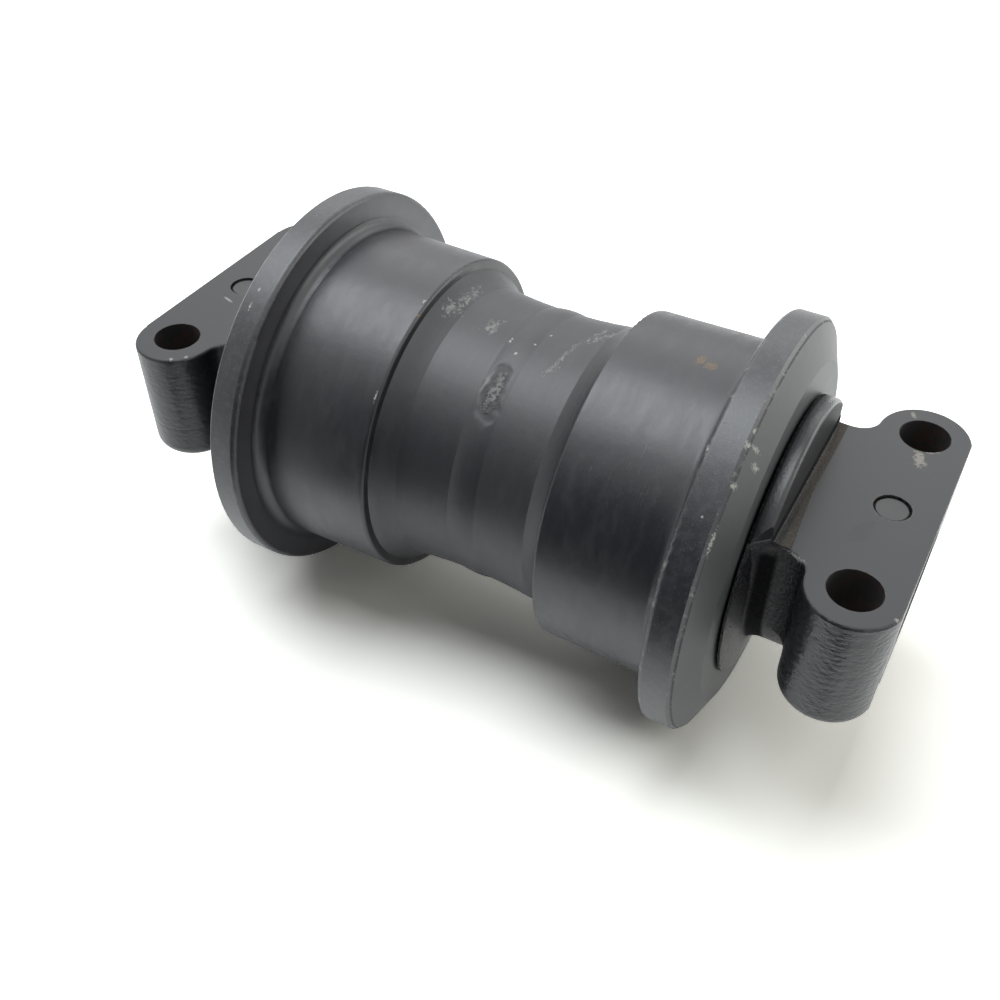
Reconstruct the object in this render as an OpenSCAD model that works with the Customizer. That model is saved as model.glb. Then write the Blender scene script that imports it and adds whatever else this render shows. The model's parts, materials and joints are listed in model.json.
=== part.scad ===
// Track roller of a small excavator: a double-flange roller shell that turns on a fixed shaft.
// The spin axis is Y, the bolted mount faces look up (+Z), and X is the direction of travel.
// The origin is on the spin axis, midway between the two ends. Left is the -Y end.

/* [Roller shell] */
// Diameter over the flanges
flange_d = 150; // [142:1:162]
// Distance between the flanges at their roots
flange_gap = 155.2; // [146:0.2:166]
// Thickness of a flange from its root to the outer edge of its rim
flange_t = 12.4; // [11:0.2:18]
// How far the end ring stands out beyond the flange's rim
end_ring_out = 4.7; // [1:0.1:6]
// Slope of the flange's inner face, measured along the axis
flange_draft = 0.5; // [0.1:0.1:1.5]
// Rounding of the flange's inner rim
rim_round = 1.9; // [0.5:0.1:3]
// Worn break of the flange's outer rim
rim_break = 1.6; // [0.2:0.1:2]
// Fillet between tread and flange
root_fillet = 3.8; // [1:0.1:5]
// Tread diameter at its shoulder
tread_d = 123; // [119:1:130]
// Growth of the tread's radius from its shoulder to the flange
tread_rise = 0.8; // [0.2:0.1:1.4]
// Rounding of the tread's shoulder
tread_round = 1.4; // [0.5:0.1:4]
// Distance between the two tread shoulders
waist_gap = 66.6; // [60:0.2:78]
// Diameter of the waist at mid-length
waist_d = 102.4; // [94:0.2:106]
// Radius of the shallow hollow along the waist
waist_hollow_r = 200; // [120:5:400]
// Radius of the forged sweep from the waist up to the shoulder
sweep_r = 24; // [22:0.5:36]
// Length of that sweep along the axis
sweep_l = 8; // [7:0.1:10]
// Slope of that sweep where it leaves the waist
sweep_lean = 22; // [10:1:30]
// Width of the friction weld's band at mid-length
weld_w = 11; // [6:0.5:16]
// Height of the friction weld's band
weld_h = 0.7; // [0.3:0.1:1.5]
// Step from the bush's seat out to the oil chamber inside the waist, on the radius
chamber_step = 5; // [1:0.5:9]
// Diameter of the flat end ring, which the flange's end face slopes up to
end_ring_d = 123.6; // [112:0.2:132]

/* [Shaft and bushes] */
// Shaft diameter
shaft_d = 40; // [34:0.5:42]
// How far each shaft end lies inside its collar's outer face
shaft_recess = 2; // [0.5:0.5:6]
// Chamfer of the shaft's ends
shaft_chamfer = 1.5; // [0.5:0.1:3]
// Wall of the bush
bush_wall = 4; // [2.5:0.1:5]
// Length of the bush's sleeve
bush_l = 38; // [28:1:46]
// Width of the bush's thrust flange, on the radius
bush_flange_w = 5.4; // [3:0.1:6]
// Thickness of the bush's thrust flange
bush_flange_t = 3; // [2:0.1:4]
// Diameter of the oil gallery along the shaft
gallery_d = 8; // [5:0.5:10]

/* [Floating seals] */
// Distance from the shell's end ring in to the plane where the seal rings meet
seal_sink = 9.7; // [9:0.1:11]
// Gap between the collar's nose and the bore of a seal ring
seal_ring_gap = 2; // [1.5:0.1:3]
// Wall of a seal ring at its back
seal_ring_wall = 2.2; // [1.6:0.1:2.6]
// Growth of the seal ring's radius along its ramp
ring_ramp = 1; // [0.5:0.1:1.4]
// Thickness of the running face's rim
seal_face_t = 2.4; // [1.8:0.1:3]
// How far that rim stays inside the outside of the toric ring
seal_face_in = 1; // [0.5:0.1:2]
// Section diameter of a rubber toric ring
toric_t = 5.6; // [4.6:0.1:6.2]
// Growth of a seal housing's radius from its floor to its mouth
housing_ramp = 1.5; // [0.8:0.1:2]
// Distance from a seal ring's back to the housing's floor
ring_back = 1.3; // [1:0.1:2]
// Section diameter of the O-ring round the shaft
o_ring_t = 2.6; // [2:0.1:3.4]
// Distance from the bolt row in to the O-ring
o_ring_in = 28.6; // [20:0.2:34]

/* [End collars] */
// Diameter of the collar's hub disc
hub_d = 101; // [96:0.5:104]
// Thickness of the hub disc at its rim
hub_rim_t = 0.8; // [0.6:0.1:3]
// Growth of the hub disc's thickness from its rim to the neck
hub_rise = 2.4; // [1:0.1:4]
// Open gap between the shell's end ring and the hub disc
hub_gap = 1; // [0.5:0.1:4]
// Thickness of the crown, which is the hub's heavier part above the mount face
crown_t = 5.8; // [5:0.1:9]
// Rounding of the crown's outer edge
crown_round = 1.6; // [1:0.1:4]
// Wall of the spigot that enters the shell round the seal
spigot_wall = 4; // [3:0.1:5]
// Wall of the nose that carries side thrust
nose_wall = 9; // [7:0.5:11]
// Width of the neck, which is also the diameter of its round underside
neck_w = 69; // [60:1:72]
// Cast fillet between the neck and the hub disc
neck_fillet = 7; // [3:0.5:8]
// Height of the mount face above the spin axis
mount_h = 28.5; // [26:0.5:32]
// Width of the unmilled ledge at the foot of the crown, in its middle
ledge_w = 3.2; // [2:0.1:5]
// Angle of the milled edge against the bolt row
ledge_skew = 4.8; // [0:0.1:6]
// Height of that ledge above the mount face
ledge_h = 0.9; // [0.4:0.1:2]
// Fillet of the ledge against the crown
ledge_fillet = 2.2; // [1:0.1:3]
// Rounding of the cast edges round the mount face
pad_round = 1.8; // [0.6:0.1:2.4]
// Bolt spacing along the direction of travel
bolt_span_x = 81; // [78:1:90]
// Bolt spacing along the spin axis
bolt_span_y = 259; // [254:1:266]
// Distance from the bolt holes out to the collar's end
end_edge = 15; // [13:0.5:20]
// Diameter of a bolt hole
bolt_hole_d = 17; // [13:0.5:19]
// Diameter of a bolt boss
boss_d = 31; // [29:0.5:34]
// Height of a bolt boss
boss_h = 47; // [38:0.5:50]
// Rounding of a bolt boss's lower end
boss_round = 5; // [1:0.5:7]
// Fillet between the neck and a bolt boss, in plan
web_fillet = 8; // [4:0.5:10]
// Depth of the webs that join the neck and the bosses
web_h = 36; // [28:0.5:40]

/* [Lock pins and oil plug] */
// Diameter of a lock pin
pin_d = 11.8; // [8:0.1:13]
// Metal left in the shaft between a lock pin's foot and the oil plug
pin_wall = 1.5; // [1:0.1:4]
// How far a lock pin's end lies below the mount face
pin_recess = 0.7; // [0.2:0.1:3]
// Chamfer of a lock pin's ends
pin_chamfer = 0.8; // [0.2:0.1:1.5]
// Diameter of the oil plug's shank
plug_d = 12; // [11:0.5:14]
// Length of the oil plug's shank below its washer
plug_l = 11; // [8:0.5:14]
// Diameter of the oil plug's head
plug_head_d = 18; // [16:0.5:20]
// Thickness of the oil plug's head
plug_head_t = 4; // [3:0.5:6]
// Width across the flats of the plug's hexagon socket
plug_socket = 6; // [4:0.5:8]
// How far the plug's head lies inside the shaft's end
plug_recess = 1.5; // [0.5:0.1:3]
// Thickness of the plug's sealing washer
washer_t = 1.5; // [1:0.1:2.5]

/* [Clearances] */
// Running clearance of a bush on the shaft, on the radius
bush_clear = 0.05; // [0.02:0.01:0.1]
// Clearance of pieces that are pressed or pinned together, on the radius
seat_clear = 0.02; // [0.01:0.01:0.05]
// Side play between a bush's thrust flange and its collar
side_play = 0.4; // [0.3:0.05:0.8]
// Oil film between the two seal rings
seal_film = 0.1; // [0.05:0.05:0.3]
// Clearance of a toric ring between its seal ring and its housing
toric_clear = 0.12; // [0.05:0.01:0.3]
// Gap between the collar's spigot and the shell
spigot_clear = 1; // [0.6:0.1:1.5]
// Clearance of a lock pin in its hole, on the radius
pin_clear = 0.2; // [0.1:0.05:0.4]
// Clearance round the oil plug's head and shank, on the radius
plug_clear = 0.3; // [0.1:0.1:0.6]

/* [Hidden] */
$fn = 96;
eps = 0.01;

// Radii of the roller shell
flange_r = flange_d / 2;
tread_r = tread_d / 2;
tread_root_r = tread_r + tread_rise;
root_r = min(root_fillet, flange_r - rim_round - tread_root_r);
waist_r = waist_d / 2;
end_ring_r = end_ring_d / 2;

// Shaft and bushes
shaft_r = shaft_d / 2;
bush_in_r = shaft_r + bush_clear;
bush_out_r = bush_in_r + bush_wall;
bush_flange_r = bush_out_r + bush_flange_w;
chamber_r = bush_out_r + chamber_step;
gallery_r = gallery_d / 2;
o_groove_r = shaft_r - o_ring_t + seat_clear;

// Floating seal, from the collar's nose outwards; lengths run from the plane where the rings meet
nose_r = shaft_r + nose_wall;
ring_in_r = nose_r + seal_ring_gap;
ring_back_r = ring_in_r + seal_ring_wall;
toric_away = seal_face_t + toric_clear + toric_t / 2;
seal_ring_w = toric_away + toric_t / 2 + toric_clear;
housing_l = seal_ring_w + ring_back;
toric_in_r = ring_back_r + ring_ramp * (seal_ring_w - toric_away) / (seal_ring_w - seal_face_t);
toric_c_r = toric_in_r + toric_clear + toric_t / 2;
toric_out_r = toric_c_r + toric_t / 2 + toric_clear;
seal_face_r = toric_out_r - seal_face_in;
housing_r = toric_out_r - housing_ramp * (housing_l - toric_away) / housing_l;
mouth_r = housing_r + housing_ramp;
spigot_r = mouth_r + spigot_wall;

// Places along the axis, from mid-length outwards
shoulder_y = waist_gap / 2;
sweep_y = shoulder_y - sweep_l;
flange_in_y = flange_gap / 2;
rim_in_y = flange_in_y + flange_draft;
rim_out_y = flange_in_y + flange_t;
shell_end_y = rim_out_y + end_ring_out;
seal_y = shell_end_y - seal_sink;
shell_floor_y = seal_y - housing_l;
collar_floor_y = seal_y + housing_l;
chamber_y = shell_floor_y - bush_l - side_play;
nose_y = shell_floor_y + bush_flange_t + side_play;
hub_in_y = shell_end_y + hub_gap;
hub_rim_y = hub_in_y + hub_rim_t;
hub_back_y = hub_rim_y + hub_rise;
crown_y = hub_in_y + crown_t;
bolt_y = bolt_span_y / 2;
o_ring_y = bolt_y - o_ring_in;
collar_end_y = bolt_y + end_edge;
overall_l = 2 * collar_end_y;
shaft_end_y = collar_end_y - shaft_recess;

// Shallow hollow of the waist, and the sweep that leaves it at a slight corner
hollow_c = waist_r + waist_hollow_r;
sweep_start_r = hollow_c - sqrt(pow(waist_hollow_r, 2) - pow(sweep_y, 2));
sweep_c_r = sweep_start_r + sweep_r * cos(sweep_lean);
sweep_c_y = sweep_y - sweep_r * sin(sweep_lean);
sweep_end_r = min(tread_r, sweep_c_r - sqrt(pow(sweep_r, 2) - pow(shoulder_y - sweep_c_y, 2)));
weld_r = (pow(weld_w / 2, 2) + pow(weld_h, 2)) / (2 * weld_h);

// Collar
hub_r = hub_d / 2;
neck_r = neck_w / 2;
boss_r = boss_d / 2;
bolt_x = bolt_span_x / 2;
web_x = neck_r + web_fillet;
web_y = bolt_y - sqrt(pow(boss_r + web_fillet, 2) - pow(web_x - bolt_x, 2));

// The mount face's rounding meets both faces at a slight angle, so this share of it lies inside them
pad_share = 0.92;
pad_in = pad_share * pad_round;

// Oil plug, which sits in the right end of the shaft
plug_seat_y = shaft_end_y - plug_recess - plug_head_t - washer_t;
plug_bore_r = plug_d / 2 + plug_clear;
plug_pocket_r = plug_head_d / 2 + plug_clear;

// Lock pins, which stand in line with the bolt holes and stop above the oil plug
pin_r = pin_d / 2;
pin_foot_z = plug_pocket_r + pin_wall;

// Turns a drawn profile (radius, place along the axis) about the spin axis
module turned() {
    rotate([-90, 0, 0]) rotate_extrude() children();
}

// Puts a piece drawn for the right end at the left end, turned half round
module at_left() {
    rotate([0, 0, 180]) children();
}

// Corner that two square walls share, filled with a concave fillet of radius r
module fillet_2d(r) {
    difference() {
        translate([-eps, -eps]) square(r + eps);
        translate([r, r]) circle(r);
    }
}

// Outer half profile of the shell, from mid-length to the right end
module shell_outside() {
    difference() {
        square([sweep_start_r, sweep_y + eps]);
        translate([hollow_c, 0]) circle(waist_hollow_r, $fn = 360);
    }
    difference() {
        translate([0, sweep_y]) square([sweep_end_r, sweep_l + eps]);
        translate([sweep_c_r, sweep_c_y]) circle(sweep_r);
    }
    intersection() {
        translate([waist_r + weld_h - weld_r, 0]) circle(weld_r);
        square([waist_r + weld_h, weld_w]);
    }
    tread_outside();
    flange_outside();
}

// Tread with its rounded shoulder, and the fillet at the flange's root
module tread_outside() {
    polygon([
        [0, shoulder_y],
        [tread_r - tread_round, shoulder_y],
        [tread_r, shoulder_y + tread_round],
        [tread_root_r, flange_in_y],
        [0, flange_in_y]
    ]);
    translate([tread_r - tread_round, shoulder_y + tread_round]) circle(tread_round);
    translate([tread_root_r, flange_in_y]) mirror([0, 1]) fillet_2d(root_r);
}

// Flange with a rounded inner rim, a worn outer rim and an end face that slopes out to the end ring
module flange_outside() {
    polygon([
        [0, flange_in_y - eps],
        [tread_root_r, flange_in_y - eps],
        [flange_r - rim_round, rim_in_y],
        [flange_r, rim_in_y + rim_round],
        [flange_r, rim_out_y - rim_break],
        [flange_r - rim_break, rim_out_y],
        [end_ring_r, shell_end_y],
        [0, shell_end_y]
    ]);
    translate([flange_r - rim_round, rim_in_y + rim_round]) circle(rim_round);
}

// Inner half profile: oil chamber, bush seat, seal housing and the recess round the spigot
module shell_inside() {
    square([chamber_r, chamber_y]);
    square([bush_out_r + seat_clear, shell_end_y]);
    polygon([
        [0, shell_floor_y],
        [housing_r, shell_floor_y],
        [mouth_r, seal_y],
        [0, seal_y]
    ]);
    translate([0, seal_y - spigot_clear])
        square([spigot_r + spigot_clear, shell_end_y]);
}

module roller_shell() {
    color([0.07, 0.075, 0.085])
        turned() {
            difference() {
                union() {
                    shell_outside();
                    mirror([0, 1]) shell_outside();
                }
                shell_inside();
                mirror([0, 1]) shell_inside();
            }
        }
}

module shaft() {
    color([0.45, 0.46, 0.48])
        difference() {
            turned() {
                difference() {
                    polygon([
                        [0, -shaft_end_y],
                        [shaft_r - shaft_chamfer, -shaft_end_y],
                        [shaft_r, shaft_chamfer - shaft_end_y],
                        [shaft_r, shaft_end_y - shaft_chamfer],
                        [shaft_r - shaft_chamfer, shaft_end_y],
                        [0, shaft_end_y]
                    ]);
                    for (side = [-1, 1])
                        translate([o_groove_r, side * o_ring_y - o_ring_t / 2])
                            square(o_ring_t);
                    square([gallery_r, shaft_end_y]);
                    translate([0, plug_seat_y - plug_l - plug_clear])
                        square([plug_bore_r, plug_l + 2 * plug_clear]);
                    translate([0, plug_seat_y])
                        square([plug_pocket_r, shaft_end_y]);
                }
            }
            rotate([0, 90, 0]) cylinder(r = gallery_r, h = shaft_d, center = true);
            for (side = [-1, 1])
                translate([0, side * bolt_y, pin_foot_z])
                    cylinder(r = pin_r + pin_clear, h = shaft_d);
        }
}

// Flanged bush, pressed into the shell and running on the shaft
module bush() {
    color([0.70, 0.52, 0.28])
        turned() {
            difference() {
                union() {
                    translate([0, shell_floor_y - bush_l]) square([bush_out_r, bush_l + eps]);
                    translate([0, shell_floor_y]) square([bush_flange_r, bush_flange_t]);
                }
                square([bush_in_r, shell_end_y]);
            }
        }
}

// Half section of a seal ring, with its running face on the axis origin and its back above
module seal_ring_section() {
    polygon([
        [ring_in_r, seal_film / 2],
        [seal_face_r, seal_film / 2],
        [seal_face_r, seal_face_t],
        [ring_back_r + ring_ramp, seal_face_t],
        [ring_back_r, seal_ring_w],
        [ring_in_r, seal_ring_w]
    ]);
}

module static_seal_ring() {
    color([0.55, 0.56, 0.58])
        turned() translate([0, seal_y]) seal_ring_section();
}

module rotating_seal_ring() {
    color([0.55, 0.56, 0.58])
        turned() translate([0, seal_y]) mirror([0, 1]) seal_ring_section();
}

// Rubber toric ring between a seal ring's ramp and its housing
module toric(y) {
    color([0.06, 0.06, 0.06])
        turned() translate([toric_c_r, y]) circle(d = toric_t);
}

module static_toric() {
    toric(seal_y + toric_away);
}

module rotating_toric() {
    toric(seal_y - toric_away);
}

module shaft_o_ring() {
    color([0.06, 0.06, 0.06])
        turned() translate([o_groove_r + o_ring_t / 2, o_ring_y]) circle(o_ring_t / 2 - seat_clear);
}

// Turned half of the collar: hub disc, spigot and nose, hollowed for the static seal
module collar_hub_section() {
    difference() {
        union() {
            translate([0, nose_y]) square([nose_r, hub_back_y - nose_y]);
            translate([0, seal_y + spigot_clear]) square([spigot_r, hub_in_y - seal_y]);
            polygon([
                [0, hub_in_y],
                [hub_r, hub_in_y],
                [hub_r, hub_rim_y],
                [neck_r, hub_back_y],
                [0, hub_back_y]
            ]);
        }
        polygon([
            [nose_r, seal_y],
            [mouth_r, seal_y],
            [housing_r, collar_floor_y],
            [nose_r, collar_floor_y]
        ]);
    }
}

// Crown of the hub above the mount face, as wide as the neck, with ends that slope to the rim
module collar_crown() {
    crown_foot = neck_r + crown_y - hub_rim_y;
    intersection() {
        turned() {
            translate([0, hub_in_y]) square([hub_r, crown_t - crown_round]);
            translate([0, hub_in_y]) square([hub_r - crown_round, crown_t]);
            translate([hub_r - crown_round, crown_y - crown_round]) circle(crown_round);
        }
        translate([0, 0, mount_h - ledge_h])
            linear_extrude(hub_r)
                polygon([
                    [-crown_foot, hub_in_y],
                    [-crown_foot, hub_rim_y],
                    [-neck_r, crown_y],
                    [neck_r, crown_y],
                    [crown_foot, hub_rim_y],
                    [crown_foot, hub_in_y]
                ]);
    }
}

// Neck with upright sides and a round underside, running out to the collar's end
module collar_neck() {
    translate([0, collar_end_y, 0])
        rotate([90, 0, 0])
            linear_extrude(collar_end_y - hub_rim_y) {
                intersection() {
                    circle(neck_r);
                    translate([-neck_r, -neck_r]) square([neck_w, neck_r + mount_h]);
                }
                translate([-neck_r, 0]) square([neck_w, mount_h]);
            }
}

// Cast fillet between neck and hub disc: round below the axis, straight up both sides
module collar_neck_fillet() {
    intersection() {
        turned() translate([neck_r, hub_rim_y]) fillet_2d(neck_fillet);
        translate([-hub_r, 0, -hub_d]) cube([hub_d, collar_end_y, hub_d]);
    }
    for (side = [0, 1])
        mirror([side, 0, 0])
            linear_extrude(mount_h)
                translate([neck_r, hub_rim_y]) fillet_2d(neck_fillet);
}

// Narrow ledge at the foot of the crown, cut off along the slanting edge of the milled face
module collar_ledge() {
    intersection() {
        translate([-neck_r, crown_y, mount_h - ledge_w])
            rotate([90, 0, 90])
                linear_extrude(neck_w) {
                    translate([-crown_t / 2, 0]) square([crown_t / 2 + 3 * ledge_w, ledge_w + ledge_h]);
                    translate([0, ledge_w + ledge_h]) fillet_2d(ledge_fillet);
                }
        translate([0, crown_y + ledge_w, 0])
            rotate([0, 0, ledge_skew])
                translate([-hub_d, -hub_d, 0]) cube([2 * hub_d, hub_d, hub_d]);
    }
}

// Webs in plan, each running from the neck's side into its boss along a concave fillet
module collar_webs() {
    boss_share = boss_r / (boss_r + web_fillet);
    touch_x = bolt_x + (web_x - bolt_x) * boss_share;
    touch_y = bolt_y + (web_y - bolt_y) * boss_share;
    for (side = [0, 1])
        mirror([side, 0, 0])
            translate([0, 0, mount_h - web_h])
                linear_extrude(web_h)
                    difference() {
                        polygon([
                            [0, web_y],
                            [web_x, web_y],
                            [touch_x, touch_y],
                            [bolt_x, bolt_y],
                            [bolt_x, collar_end_y],
                            [0, collar_end_y]
                        ]);
                        translate([web_x, web_y]) circle(web_fillet);
                    }
}

// Upright bolt bosses with rounded lower ends
module collar_bosses() {
    for (side = [-1, 1])
        translate([side * bolt_x, bolt_y, mount_h - boss_h])
            rotate_extrude() {
                translate([0, boss_round]) square([boss_r, boss_h - boss_round]);
                square([boss_r - boss_round, boss_h]);
                intersection() {
                    translate([boss_r - boss_round, boss_round]) circle(boss_round);
                    square([boss_r, boss_h]);
                }
            }
}

// Corner to take off an edge of the mount face: x runs outwards from the wall, y up from the face
module pad_corner() {
    difference() {
        translate([-pad_in, -pad_in]) square(2 * pad_in);
        translate([-pad_in, -pad_in]) circle(pad_round);
    }
}

// Rounding of the mount face's cast edges: along the neck, round the webs and round the bosses
module collar_pad_rounding() {
    fillet_y = hub_rim_y + neck_fillet;
    for (side = [0, 1])
        mirror([side, 0, 0]) {
            translate([neck_r, web_y, mount_h])
                rotate([90, 0, 0])
                    linear_extrude(web_y - fillet_y) pad_corner();
            intersection() {
                translate([neck_r + neck_fillet, fillet_y, mount_h])
                    rotate_extrude() translate([neck_fillet, 0]) mirror([1, 0]) pad_corner();
                cube([neck_r + neck_fillet, fillet_y, hub_d]);
            }
            intersection() {
                translate([web_x, web_y, mount_h])
                    rotate_extrude() translate([web_fillet, 0]) mirror([1, 0]) pad_corner();
                linear_extrude(hub_d)
                    polygon([
                        [0, web_y],
                        [web_x, web_y],
                        [bolt_x, bolt_y],
                        [0, bolt_y]
                    ]);
            }
            intersection() {
                translate([bolt_x, bolt_y, mount_h])
                    rotate_extrude() translate([boss_r, 0]) pad_corner();
                linear_extrude(hub_d)
                    polygon([
                        [bolt_x, bolt_y],
                        [web_x, web_y],
                        [web_x + boss_d, web_y],
                        [web_x + boss_d, overall_l],
                        [bolt_x, overall_l]
                    ]);
            }
        }
}

module collar() {
    color([0.09, 0.09, 0.10])
        difference() {
            union() {
                difference() {
                    union() {
                        collar_neck();
                        collar_neck_fillet();
                        collar_webs();
                        collar_bosses();
                    }
                    collar_pad_rounding();
                }
                turned() collar_hub_section();
                collar_crown();
                collar_ledge();
            }
            turned() square([shaft_r + seat_clear, overall_l]);
            translate([-overall_l / 2, collar_end_y, -overall_l / 2]) cube(overall_l);
            for (side = [-1, 1])
                translate([side * bolt_x, bolt_y, -boss_h])
                    cylinder(d = bolt_hole_d, h = 2 * boss_h);
            translate([0, bolt_y, 0]) cylinder(r = pin_r + pin_clear, h = 2 * mount_h);
        }
}

// Lock pin, driven down through the mount face into the shaft
module lock_pin() {
    pin_l = mount_h - pin_recess - pin_foot_z;
    color([0.40, 0.38, 0.36])
        translate([0, bolt_y, pin_foot_z])
            rotate_extrude()
                polygon([
                    [0, 0],
                    [pin_r - pin_chamfer, 0],
                    [pin_r, pin_chamfer],
                    [pin_r, pin_l - pin_chamfer],
                    [pin_r - pin_chamfer, pin_l],
                    [0, pin_l]
                ]);
}

module oil_plug() {
    head_y = plug_seat_y + washer_t;
    color([0.50, 0.50, 0.52])
        difference() {
            turned() {
                translate([0, plug_seat_y - plug_l]) square([plug_d / 2, plug_l + washer_t + eps]);
                translate([0, head_y]) square([plug_head_d / 2, plug_head_t]);
            }
            translate([0, head_y - plug_socket / 2, 0])
                rotate([-90, 0, 0])
                    cylinder(d = plug_socket / cos(30), h = plug_socket + plug_head_t, $fn = 6);
        }
}

module plug_washer() {
    color([0.72, 0.42, 0.26])
        turned()
            translate([plug_bore_r, plug_seat_y])
                square([plug_head_d / 2 - plug_bore_r, washer_t]);
}

roller_shell();
shaft();
at_left() bush();  // bush_left
bush();  // bush_right
at_left() rotating_seal_ring();  // rotating_seal_ring_left
rotating_seal_ring();  // rotating_seal_ring_right
at_left() static_seal_ring();  // static_seal_ring_left
static_seal_ring();  // static_seal_ring_right
at_left() rotating_toric();  // rotating_toric_left
rotating_toric();  // rotating_toric_right
at_left() static_toric();  // static_toric_left
static_toric();  // static_toric_right
at_left() shaft_o_ring();  // shaft_o_ring_left
shaft_o_ring();  // shaft_o_ring_right
at_left() collar();  // collar_left
collar();  // collar_right
at_left() lock_pin();  // lock_pin_left
lock_pin();  // lock_pin_right
oil_plug();
plug_washer();
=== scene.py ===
# %% [markdown]
# # A track roller in worn black paint
# This lesson dresses a track roller: a forged steel shell with two flanges, which turns on a shaft
# between two cast collars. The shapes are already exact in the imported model, so the work here is the
# finish: satin black paint, rough cast skin, milled faces, scuffs and a little rust.

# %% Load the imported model
import json
import math
import bmesh
import bpy
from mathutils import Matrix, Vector


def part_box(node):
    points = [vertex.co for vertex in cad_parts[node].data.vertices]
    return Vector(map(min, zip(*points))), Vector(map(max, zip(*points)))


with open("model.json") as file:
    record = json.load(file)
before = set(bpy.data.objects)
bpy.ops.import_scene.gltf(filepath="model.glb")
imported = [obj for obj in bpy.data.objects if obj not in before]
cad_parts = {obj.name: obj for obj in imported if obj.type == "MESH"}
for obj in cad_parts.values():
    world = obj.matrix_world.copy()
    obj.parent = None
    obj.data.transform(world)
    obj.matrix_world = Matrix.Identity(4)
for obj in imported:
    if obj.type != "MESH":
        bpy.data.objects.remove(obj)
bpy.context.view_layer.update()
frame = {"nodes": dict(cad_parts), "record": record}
print("pieces in the packed model:", len(frame["nodes"]))

# %% [markdown]
# ## Places that the finishes follow
# A finish has to know where it is: on a flange's rim, on a tread or on a milled face. What the model's
# boxes and mounts can say is measured from them, so that it can't drift. The few places that they don't
# show are named further on, where a finish first needs them. All are in millimetres, which read more
# easily than metres.

# %% Measure the places on the roller
MM = 0.001

shell_low, shell_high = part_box("roller_shell")
pin_low, pin_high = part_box("lock_pin_right")
mounts = {mount["name"]: mount for mount in frame["record"]["mounts"]}
bolts = mounts["frame_bolts"]

flange_r = shell_high.x / MM
floor_h = shell_low.z / MM
collar_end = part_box("collar_right")[1].y / MM
shaft_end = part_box("shaft")[1].y / MM
pin_r = (pin_high.x - pin_low.x) / 2 / MM
mount_h = bolts["pos_m"][2] / MM
bolt_x = bolts["dims"]["spacing_x_mm"] / 2
bolt_y = bolts["dims"]["spacing_y_mm"] / 2
bolt_r = bolts["dims"]["hole_r_mm"]
print(f"flanges {2 * flange_r:.0f} mm, length {2 * collar_end:.0f} mm, mount faces {mount_h:.1f} mm up")

# %% [markdown]
# ## Camera
# The camera stands where the photographer stood: round at the left end, looking down at a steep angle.
# It could be given as a matrix, but an angle round the part, an angle above the floor, a distance and a
# point to look at say the same and can be read. The lights are placed in the same way later on.

# %% Helpers for placing things
def toward(turn, rise):
    """A unit vector; turn is clockwise from +Y and rise is above the floor, in degrees."""
    turn_angle = math.radians(turn)
    rise_angle = math.radians(rise)
    return Vector((
        math.sin(turn_angle) * math.cos(rise_angle),
        math.cos(turn_angle) * math.cos(rise_angle),
        math.sin(rise_angle),
    ))


def put(name, data):
    """A new object in the scene, which shows the data."""
    thing = bpy.data.objects.new(name, data)
    bpy.context.scene.collection.objects.link(thing)
    return thing


print("a turn of 180 degrees points along", [round(c) for c in toward(180, 0)])

# %% Place the camera
view_turn = 240.62
view_rise = 43.03
view_roll = math.radians(0.26)
view_distance = 422.1 * MM
view_point = Vector((-17.8, 2.9, -15.1)) * MM

away = toward(view_turn, view_rise)
camera_data = bpy.data.cameras.new("studio_camera")
camera_data.sensor_width = 36
camera_data.lens = 40.59
camera_data.clip_start = 0.01
camera = put("studio_camera", camera_data)
camera.location = view_point + away * view_distance
level = (-away).to_track_quat("-Z", "Y").to_euler()
level.rotate_axis("Z", view_roll)
camera.rotation_euler = level
bpy.context.scene.camera = camera
print("camera at", [round(c / MM) for c in camera.location], "mm")

# %% [markdown]
# ## Helpers for finishes
# Every finish is a network of nodes that ends in one Principled shader. Writing each node and link by
# hand would hide the idea, so three helpers, each built on the one before, give the few moves that paint
# and metal need: sums and soft steps, then noise and ragged marks of a given size in millimetres, then
# coats and reliefs that lie on top of each other.

# %% Helper for sums and mixes
# A Mix node has sockets for every kind of value: these are the two that go in and the one that comes out.
MIX_SOCKETS = {"FLOAT": (2, 3, 0), "RGBA": (6, 7, 2)}


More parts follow.
